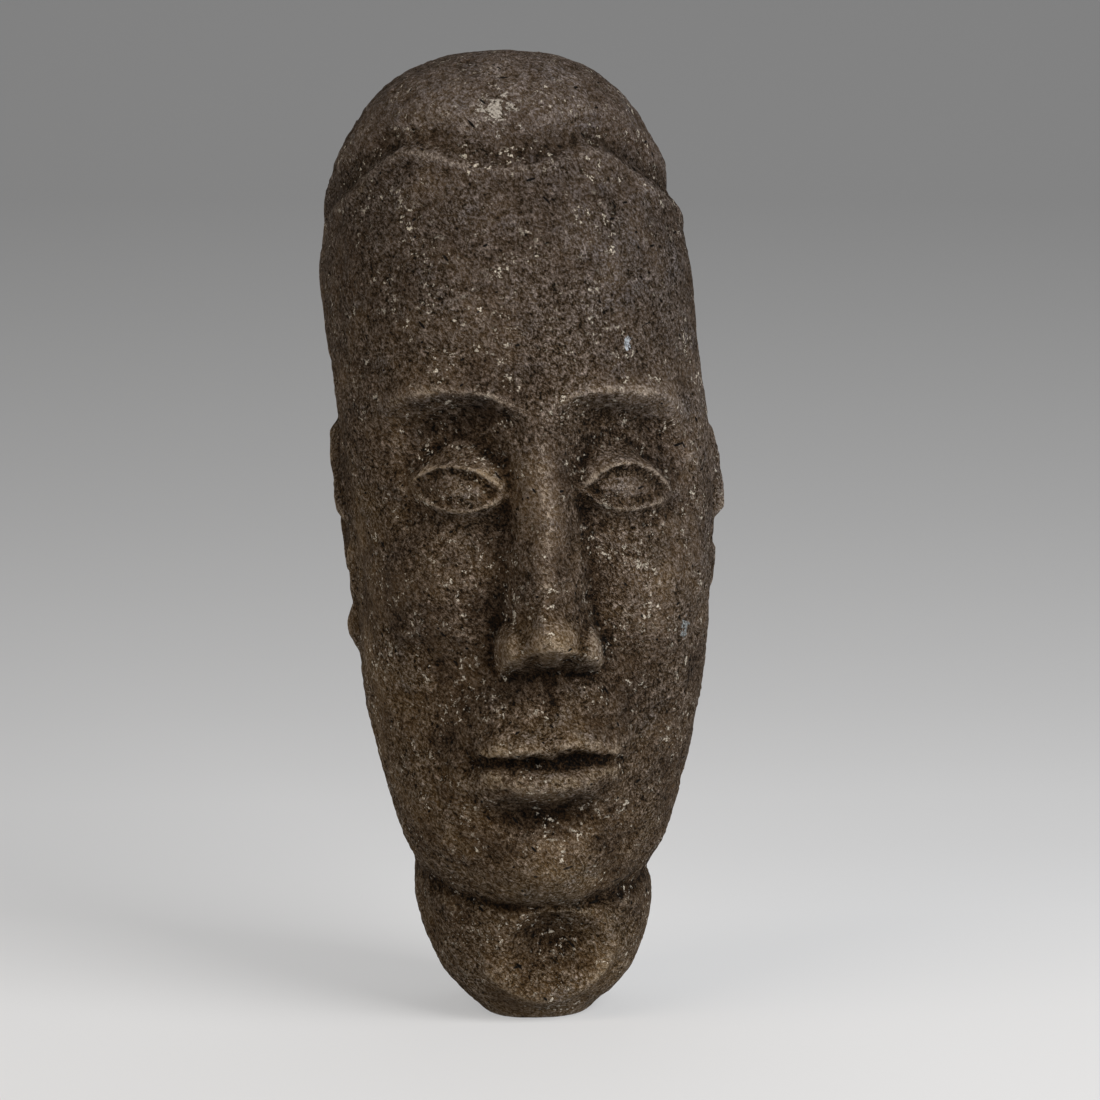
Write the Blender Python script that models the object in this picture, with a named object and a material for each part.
"""A tall stone head on a short neck, carved from one block of basalt.

The block comes first, an egg-shaped head that flows into a tapering neck. The hair, ears, brows, eyes, nose
and mouth are then raised from its surface or cut back into it. The face looks along -Y, and the origin is the
middle of the flat underside that the stone stands on.
"""

import math

import bpy
import numpy as np

# Driving sizes, in metres.
TOTAL_HEIGHT = 0.420
HEAD_WIDTH = 0.160
FACE_DEPTH = 0.078  # from the axis forward to the face, without the nose
BACK_DEPTH = 0.084  # from the axis back to the hair
NECK_HEIGHT = 0.048  # from the underside up to the chin
NECK_WIDTH = 0.106  # at its widest, hard up against the jaw
NECK_FRONT = 0.056  # from the axis forward, there
NECK_BACK = 0.057
JAW_CREASE = 0.003  # depth of the groove where jaw and neck meet
FOOT_WIDTH = 0.038  # of the flat underside
FOOT_FRONT = 0.022
FOOT_BACK = 0.028
FOOT_ROUNDING = 0.025  # height over which the neck rounds in to the underside
FOOT_SETBACK = 0.0265  # how far it rounds in
HAIR_THICKNESS = 0.0035  # how far the hair stands over the skull
CROWN_LEAN = 0.017  # how far the crown leans to -X
LEAN_START = 0.170  # height at which the head starts to lean
THROAT_ASIDE = 0.006  # how far to +X of the middle the throat's hollow lies

# The face follows the usual canon. It is five eyes across, its brow and nose base part it in three from
# hairline to chin, and the eyes lie at half the head's height. Carving is in shares of one eye's width.
# Heights on the face are in shares of TALL: a third of an ordinary face is 2.1 eyes, and this head is longer.
CROWN = TOTAL_HEIGHT - HAIR_THICKNESS
CHIN = NECK_HEIGHT
HEAD_HEIGHT = CROWN - CHIN
EYE = HEAD_WIDTH / 5
HAIRLINE = CHIN + 0.885 * HEAD_HEIGHT
THIRD = (HAIRLINE - CHIN) / 3
TALL = THIRD / 2.1
BROW = HAIRLINE - THIRD
NOSE_BASE = CHIN + THIRD
EYE_LINE = CHIN + HEAD_HEIGHT / 2
MOUTH = NOSE_BASE - THIRD / 3
NAPE = NOSE_BASE
WIDEST = CHIN + 0.62 * HEAD_HEIGHT
EYE_ACROSS = 1.10 * EYE  # from the middle of the face to the middle of an eye
EYE_HALF_WIDTH = 0.64 * EYE
LID_RISE = 0.22 * TALL
LID_FALL = 0.16 * TALL
MOUTH_HALF_WIDTH = EYE
NECK_TOP = 1.2 * NECK_HEIGHT  # where the neck is widest, inside the jaw
EAR_LINE = (BROW + NOSE_BASE) / 2  # ears reach from the brow down to the nose's base

# How square the stone is in plan, and how full its outline is above and below the widest: 2 is round.
FACE_SQUARENESS = 2.4
BACK_SQUARENESS = 3.0
NECK_SQUARENESS = 2.3
CROWN_FULLNESS = 2.7
JAW_FULLNESS = 4.0
FACE_FULLNESS = 6.0
NAPE_FULLNESS = 3.6
FOOT_FULLNESS = 1.3

# Swells and dips left by cutting by eye: share of EYE, waves per head height across, back and up, and start.
SWELLS = ((0.040, (2.1, -1.5, 0.9), 0.7), (0.025, (-2.4, 1.9, 3.8), 2.1), (0.020, (1.2, 3.1, -2.6), 4.0))

# How finely the stone is worked out, and how many triangles are kept.
COLUMNS = 300
ROWS = 320
TRIANGLES = 9000
BELOW_CUT = 0.010  # the neck is made this much too long, then sawn off flat


def smooth_max(a, b, fillet):
    """The larger of two heights, rounded where they meet."""
    share = np.clip(0.5 + 0.5 * (a - b) / fillet, 0, 1)
    return b + (a - b) * share + fillet * share * (1 - share)


def smooth_min(a, b, fillet):
    return -smooth_max(-a, -b, fillet)


def ease(value, start, end):
    """0 before start, 1 after end, and smooth between."""
    t = np.clip((value - start) / (end - start), 0, 1)
    return t * t * (3 - 2 * t)


def dome(across, up, centre, reach):
    """1 at its centre, 0 at its reach across and up, and falling on below 0 outside it."""
    return 1 - ((across - centre[0]) / reach[0]) ** 2 - ((up - centre[1]) / reach[1]) ** 2


def mound(across, up, centre, reach):
    """1 at its centre, running out softly to 0 at its reach across and up."""
    return np.clip(dome(across, up, centre, reach), 0, 1) ** 2


def bell(distance, width):
    return np.exp(-((distance / width) ** 2))


def along(across, up, path):
    """Distance from each point to a path of (across, up) points, and the share of the path passed there."""
    nearest = np.full(across.shape, np.inf)
    share = np.zeros(across.shape)
    spans = len(path) - 1
    for index in range(spans):
        start = np.array(path[index])
        step = np.array(path[index + 1]) - start
        t = ((across - start[0]) * step[0] + (up - start[1]) * step[1]) / (step @ step)
        t = np.clip(t, 0, 1)
        distance = np.hypot(across - start[0] - t * step[0], up - start[1] - t * step[1])
        closer = distance < nearest
        nearest = np.where(closer, distance, nearest)
        share = np.where(closer, (index + t) / spans, share)
    return nearest, share


def egg(up, fullness_below):
    """Share of the head's full width or depth at each height: 1 at the widest, 0 at crown and chin."""
    above = np.clip((up - WIDEST) / (CROWN - WIDEST), 0, 1)
    below = np.clip((WIDEST - up) / (WIDEST - CHIN), 0, 1)
    top = (1 - above**CROWN_FULLNESS) ** (1 / CROWN_FULLNESS)
    bottom = (1 - below**fullness_below) ** (1 / fullness_below)
    return np.where(up > WIDEST, top, bottom)


def oval_reach(turn, half_width, front, back, squareness):
    """Distance from the axis to a squarish oval, in the direction of turn. The front is at -90 degrees."""
    depth = np.where(np.sin(turn) < 0, front, back)
    tiny = 1e-5
    sideways = (np.abs(np.cos(turn)) / np.maximum(half_width, tiny)) ** squareness
    forward = (np.abs(np.sin(turn)) / np.maximum(depth, tiny)) ** squareness
    return (sideways + forward) ** (-1 / squareness)


def head_reach(turn, up):
    """The head's own outline at each height, before any carving."""
    narrowing = 1 - 0.10 * np.clip((WIDEST - up) / (WIDEST - CHIN), 0, 1)
    half_width = HEAD_WIDTH / 2 * egg(up, JAW_FULLNESS) * narrowing
    front = FACE_DEPTH * egg(up, FACE_FULLNESS)
    back = BACK_DEPTH * egg(up, NAPE_FULLNESS) * narrowing
    squareness = np.where(np.sin(turn) < 0, FACE_SQUARENESS, BACK_SQUARENESS)
    return oval_reach(turn, half_width, front, back, squareness)


def neck_reach(turn, up):
    """The neck tapers down to a soft edge above the foot, then rounds in. Up in the head it vanishes."""
    taper = np.sin(np.clip((up - FOOT_ROUNDING) / (NECK_TOP - FOOT_ROUNDING), 0, 1) * math.pi / 2)
    rounding = (1 - (1 - np.clip(up / FOOT_ROUNDING, 0, 1)) ** FOOT_FULLNESS) ** (1 / FOOT_FULLNESS)
    vanishing = 1 - ease(up, 1.75 * NECK_HEIGHT, 3.5 * NECK_HEIGHT)
    reaches = []
    for foot, top in ((FOOT_WIDTH / 2, NECK_WIDTH / 2), (FOOT_FRONT, NECK_FRONT), (FOOT_BACK, NECK_BACK)):
        flare = top - foot - FOOT_SETBACK
        reaches.append((foot + FOOT_SETBACK * rounding + flare * taper) * vanishing)
    return oval_reach(turn, *reaches, NECK_SQUARENESS)


def block(turn, up):
    """The uncarved stone: a point for each turn and height. Jaw and neck meet in a crease, the nape flows."""
    head = head_reach(turn, up)
    neck = neck_reach(turn, up)
    backwards = ease(np.sin(turn), -0.2, 0.9)
    crease = JAW_CREASE * bell(head - neck, JAW_CREASE) * (1 - backwards)
    reach = smooth_max(head, neck, EYE * (0.06 + 0.6 * backwards)) - crease
    return np.stack([reach * np.cos(turn), reach * np.sin(turn), up], axis=2)


def hair(side, back, up):
    """Close-cut hair as a cap with a rolled edge, down behind the ears to the nape, above a groove."""
    arches = 0.24 * EYE * bell(side - 1.15 * EYE, 0.55 * EYE)
    falling = 0.48 * EYE * ease(side, 1.5 * EYE, 2.5 * EYE)
    front_edge = up - (HAIRLINE - 0.08 * EYE + arches - falling)
    behind_ear = back - EYE * (1.15 + 0.12 * np.cos((up - EYE_LINE) / TALL))
    nape = up - NAPE - 0.30 * EYE * ease(side, 0.4 * EYE, 2.4 * EYE)
    back_edge = smooth_min(behind_ear, nape, 1.0 * EYE)
    inside = smooth_max(front_edge, back_edge, 1.8 * EYE)
    cap = HAIR_THICKNESS * ease(inside, -0.06 * EYE, 0.40 * EYE)
    roll = 0.05 * EYE * bell(inside - 0.50 * EYE, 0.40 * EYE)
    groove = -0.07 * EYE * bell(inside, 0.15 * EYE)
    ledge = 0.05 * EYE * bell(inside + 0.26 * EYE, 0.20 * EYE) * ease(up, NOSE_BASE, BROW)
    return cap + roll + groove + ledge


def brow_rise(side):
    """The brow arches over the eye: height over BROW at each distance from the middle."""
    return 0.14 * TALL - 0.26 * TALL * ((side - EYE_ACROSS) / (1.2 * EYE)) ** 2


def brows(side, up):
    """A ridge over each eye, and the hollow below it that is deepest at the top and runs out on the cheek."""
    over = up - BROW - brow_rise(side)
    inner_end = ease(side, 0.05 * EYE, 0.55 * EYE)
    outer_end = 1 - ease(side, 1.45 * EYE, 2.2 * EYE)
    ridge = 0.17 * bell(over, 0.28 * EYE)
    below = np.clip(-over, 0, None)
    hollow = 0.40 * ease(-over, -0.10 * EYE, 0.40 * EYE) * np.exp(-below / (0.85 * TALL))
    return EYE * outer_end * (ridge * (0.4 + 0.6 * inner_end) - hollow * inner_end)


def lid_path(rise):
    """An arc over or under the eye, between its two corners."""
    steps = np.linspace(-1, 1, 17)
    arc = rise * (1 - np.abs(steps) ** 2.3)
    return list(zip(EYE_ACROSS + EYE_HALF_WIDTH * steps, EYE_LINE + arc))


def eyes(side, up):
    """Height of each eyeball's round face over the block."""
    middle = EYE_LINE + (LID_RISE - LID_FALL) / 2
    reach = (1.10 * EYE_HALF_WIDTH, 0.66 * (LID_RISE + LID_FALL))
    return EYE * (0.24 * dome(side, up, (EYE_ACROSS, middle), reach) - 0.15)


def lids(side, up):
    upper, _ = along(side, up, lid_path(LID_RISE))
    lower, _ = along(side, up, lid_path(-LID_FALL))
    return EYE * np.maximum(0.18 * bell(upper, 0.12 * EYE), 0.15 * bell(lower, 0.11 * EYE))


def nose(side, up):
    """Height of the nose over the face: a crest that widens down to a round tip between two wings."""
    root = BROW + 0.1 * TALL
    down = (root - up) / (root - NOSE_BASE)
    crest = 0.05 + 0.70 * np.clip(down, 0, 1.2)
    half_width = EYE * (0.36 + 0.30 * ease(down, 0.25, 0.95))
    bridge = crest * (1 - (side / half_width) ** 1.6) - ease(-down, 0, 0.5)
    tip = 0.34 + 0.48 * dome(side, up, (0, NOSE_BASE + 0.25 * TALL), (0.44 * EYE, 0.36 * TALL))
    wing = 0.12 + 0.38 * dome(side, up, (0.46 * EYE, NOSE_BASE + 0.20 * TALL), (0.27 * EYE, 0.24 * TALL))
    whole = smooth_max(smooth_max(bridge, tip, 0.16), wing, 0.08)
    underside = 2.2 * (up - NOSE_BASE) / EYE + 0.06
    return EYE * smooth_min(whole, underside, 0.16)


def nostrils(side, up):
    return -0.10 * EYE * mound(side, up, (0.24 * EYE, NOSE_BASE + 0.10 * TALL), (0.17 * EYE, 0.10 * TALL))


def lip_path(middle, corner, bow):
    """Across half the mouth, from the middle to the corner, with a dip of the bow at the middle."""
    steps = np.linspace(0, 1, 13)
    dip = bow * bell(steps, 0.2)
    return list(zip(MOUTH_HALF_WIDTH * steps, MOUTH + TALL * (middle + (corner - middle) * steps**2.2 - dip)))


def lips(side, up):
    """Two full rolls that thin out to the corners, and the line between them."""
    upper, share = along(side, up, lip_path(0.16, 0.03, 0.03))
    upper_roll = 0.18 * (1 - 0.80 * share**2) * bell(upper, 0.20 * EYE)
    lower, share = along(side, up, lip_path(-0.19, -0.07, 0))
    lower_roll = 0.22 * (1 - 0.95 * share**2) * bell(lower, 0.24 * EYE)
    line, share = along(side, up, lip_path(0, -0.03, 0.01))
    parting = 0.13 * (1 - 0.4 * share**3) * bell(line, 0.09 * EYE)
    return EYE * (smooth_max(upper_roll, lower_roll, 0.05) - parting)


def soft_forms(side, up):
    """The broad forms of the face: forehead, cheekbones, hollow cheeks, the mouth's mound and the chin."""
    forehead = 0.10 * mound(side, up, (0, BROW + 0.55 * THIRD), (2.2 * EYE, 0.75 * THIRD))
    cheekbones = 0.16 * mound(side, up, (1.45 * EYE, NOSE_BASE + 0.72 * TALL), (1.0 * EYE, 0.75 * TALL))
    cheeks = -0.12 * mound(side, up, (1.35 * EYE, MOUTH + 0.3 * TALL), (0.75 * EYE, 0.85 * TALL))
    muzzle = 0.34 * mound(side, up, (0, MOUTH), (1.60 * EYE, 0.85 * TALL))
    under_lip = -0.22 * mound(side, up, (0, MOUTH - 0.47 * TALL), (1.0 * EYE, 0.24 * TALL))
    chin = 0.26 * mound(side, up, (0, CHIN + 0.52 * TALL), (1.1 * EYE, 0.52 * TALL))
    groove = -0.06 * mound(side, up, (0, NOSE_BASE - 0.20 * TALL), (0.20 * EYE, 0.26 * TALL))
    return EYE * (forehead + cheekbones + cheeks + muzzle + under_lip + chin + groove)


def ear_path(first, last, wide, tall):
    """Part of an oval round the middle of the ear, in (back, up), by degrees from straight forward."""
    angles = np.radians(np.linspace(first, last, 21))
    rise = tall * np.sin(angles)
    return list(zip(0.28 * EYE - wide * np.cos(angles) + 0.16 * rise, EAR_LINE + rise))


def ears(back, up):
    """A rolled rim round the top and back, an inner fold, a lobe, and the small flap in front."""
    rim, share = along(back, up, ear_path(15, 255, 0.55 * EYE, 0.86 * TALL))
    rim_roll = 0.17 * (1 - 0.30 * ease(share, 0.35, 0.65)) * bell(rim, 0.20 * EYE)
    fold, _ = along(back, up, ear_path(60, 215, 0.22 * EYE, 0.50 * TALL))
    flap, _ = along(back, up, [(-0.15 * EYE, EAR_LINE - 0.45 * TALL), (-0.12 * EYE, EAR_LINE - 0.15 * TALL)])
    lobe = 0.19 * mound(back, up, (0.13 * EYE, EAR_LINE - 0.80 * TALL), (0.46 * EYE, 0.36 * TALL))
    plate = 0.06 * mound(back, up, (0.26 * EYE, EAR_LINE), (0.95 * EYE, 1.25 * TALL))
    raised = smooth_max(rim_roll, lobe, 0.06)
    raised = smooth_max(raised, 0.10 * bell(fold, 0.14 * EYE), 0.05)
    raised = smooth_max(raised, 0.10 * bell(flap, 0.16 * EYE), 0.05)
    return EYE * (raised + plate)


def throat(across, up):
    """A rounded hollow in the front of the neck, and the low rim of a wider bowl round it."""
    hollow = mound(across, up, (THROAT_ASIDE, 0.74 * NECK_HEIGHT), (0.8 * EYE, 0.44 * NECK_HEIGHT))
    bowl = dome(across, up, (THROAT_ASIDE / 2, 0.80 * NECK_HEIGHT), (0.85 * EYE, 0.52 * NECK_HEIGHT))
    rim = bell(bowl, 0.30) * ease(0.9 * NECK_HEIGHT - up, 0, 0.4 * NECK_HEIGHT)
    return EYE * (0.05 * rim - 0.30 * hollow)


def carving(across, back, up):
    """Height of all the carving over the block, from where a point of the block lies."""
    side = np.abs(across)
    face = soft_forms(side, up) + brows(side, up)
    face = smooth_max(face, eyes(side, up), 0.04 * EYE) + lids(side, up)
    face = smooth_max(face, nose(side, up), 0.16 * EYE) + nostrils(side, up) + lips(side, up)
    facing = 1 - ease(back, -0.35 * EYE, 0.1 * EYE)
    beside = ease(side, 1.9 * EYE, 2.25 * EYE)
    return facing * (face + throat(across, up)) + beside * ears(back, up) + hair(side, back, up)


def hand_cut(points):
    """Slow swells and dips, so that no side is quite regular."""
    height = np.zeros(points.shape[:2])
    for share, waves, start in SWELLS:
        height += share * EYE * np.sin(2 * math.pi * points @ np.array(waves) / HEAD_HEIGHT + start)
    return height


def outward(points):
    """The direction straight out of the stone at each point of a grid of rows and columns."""
    down = np.gradient(points, axis=0)
    wrapped = np.concatenate([points[:, -1:], points, points[:, :1]], axis=1)
    around = np.gradient(wrapped, axis=1)[:, 1:-1]
    normal = np.cross(down, around)
    return normal / np.maximum(np.linalg.norm(normal, axis=2, keepdims=True), 1e-12)


def even_rows(points, rows):
    """Each column's points moved along its own line so that they are evenly spaced."""
    steps = np.linalg.norm(np.diff(points, axis=0), axis=2)
    passed = np.concatenate([np.zeros((1, points.shape[1])), np.cumsum(steps, axis=0)])
    even = np.empty((rows, points.shape[1], 3))
    for column in range(points.shape[1]):
        line = passed[:, column]
        wanted = np.linspace(0, line[-1], rows)
        for axis in range(3):
            even[:, column, axis] = np.interp(wanted, line, points[:, column, axis])
    return even


def heights():
    """Heights from crown to below the cut, close together where the crown curves over."""
    angles = np.linspace(0.012, math.pi / 2, ROWS // 2)
    over_widest = WIDEST + (CROWN - WIDEST) * np.cos(angles) ** (2 / CROWN_FULLNESS)
    under_widest = np.linspace(WIDEST, -BELOW_CUT, 2 * ROWS)[1:]
    return np.concatenate([over_widest, under_widest])


def stone_surface():
    """Rows and columns of points over the whole carved stone, from the crown down."""
    turn, up = np.meshgrid(np.linspace(0, 2 * math.pi, COLUMNS, endpoint=False), heights())
    rough = even_rows(block(turn, up), ROWS)
    across, back, up = rough[:, :, 0], rough[:, :, 1], rough[:, :, 2]
    height = carving(across, back, up) + hand_cut(rough)
    carved = rough + outward(rough) * height[:, :, None]
    carved[:, :, 0] -= CROWN_LEAN * ease(carved[:, :, 2], LEAN_START, TOTAL_HEIGHT)
    return carved


def mesh_from_grid(name, points):
    """A closed skin over the rows and columns, with a point at the crown and a flat cap below."""
    rows, columns = points.shape[:2]
    crown = points[0].mean(axis=0)
    vertices = [tuple(crown)] + [tuple(point) for point in points.reshape(-1, 3)]
    faces = []
    for column in range(columns):
        beside = (column + 1) % columns
        faces.append((0, 1 + column, 1 + beside))
        for row in range(rows - 1):
            top = 1 + row * columns
            bottom = top + columns
            faces.append((top + column, bottom + column, bottom + beside, top + beside))
    last = 1 + (rows - 1) * columns
    faces.append(tuple(last + column for column in reversed(range(columns))))
    mesh = bpy.data.meshes.new(name)
    mesh.from_pydata(vertices, [], faces)
    return mesh


def basalt():
    """Dark grey-brown stone, dull all over."""
    material = bpy.data.materials.new("basalt")
    material.use_nodes = True
    shader = material.node_tree.nodes["Principled BSDF"]
    shader.inputs["Base Color"].default_value = (0.075, 0.060, 0.048, 1)
    shader.inputs["Roughness"].default_value = 0.85
    shader.inputs["Metallic"].default_value = 0
    return material


def saw_block():
    """The waste below the underside, which a saw cut takes off."""
    bpy.ops.mesh.primitive_cube_add(size=1)
    block_object = bpy.context.active_object
    block_object.name = "waste_below"
    reach = 2 * TOTAL_HEIGHT
    block_object.scale = (reach, reach, TOTAL_HEIGHT)
    block_object.location = (0, 0, -TOTAL_HEIGHT / 2)
    block_object.hide_render = True
    block_object.display_type = "WIRE"
    return block_object


def stone_head():
    """The whole stone as one solid, thinned to fewer triangles and sawn flat underneath."""
    mesh = mesh_from_grid("stone_head", stone_surface())
    stone = bpy.data.objects.new("stone_head", mesh)
    bpy.context.scene.collection.objects.link(stone)
    stone.data.materials.append(basalt())
    stone.data.shade_smooth()
    thin = stone.modifiers.new("thin", "DECIMATE")
    thin.ratio = TRIANGLES / (2 * COLUMNS * ROWS)
    cut = stone.modifiers.new("underside", "BOOLEAN")
    cut.operation = "DIFFERENCE"
    cut.object = saw_block()
    return stone


def main():
    for old in list(bpy.data.objects):
        bpy.data.objects.remove(old)
    stone_head()


main()
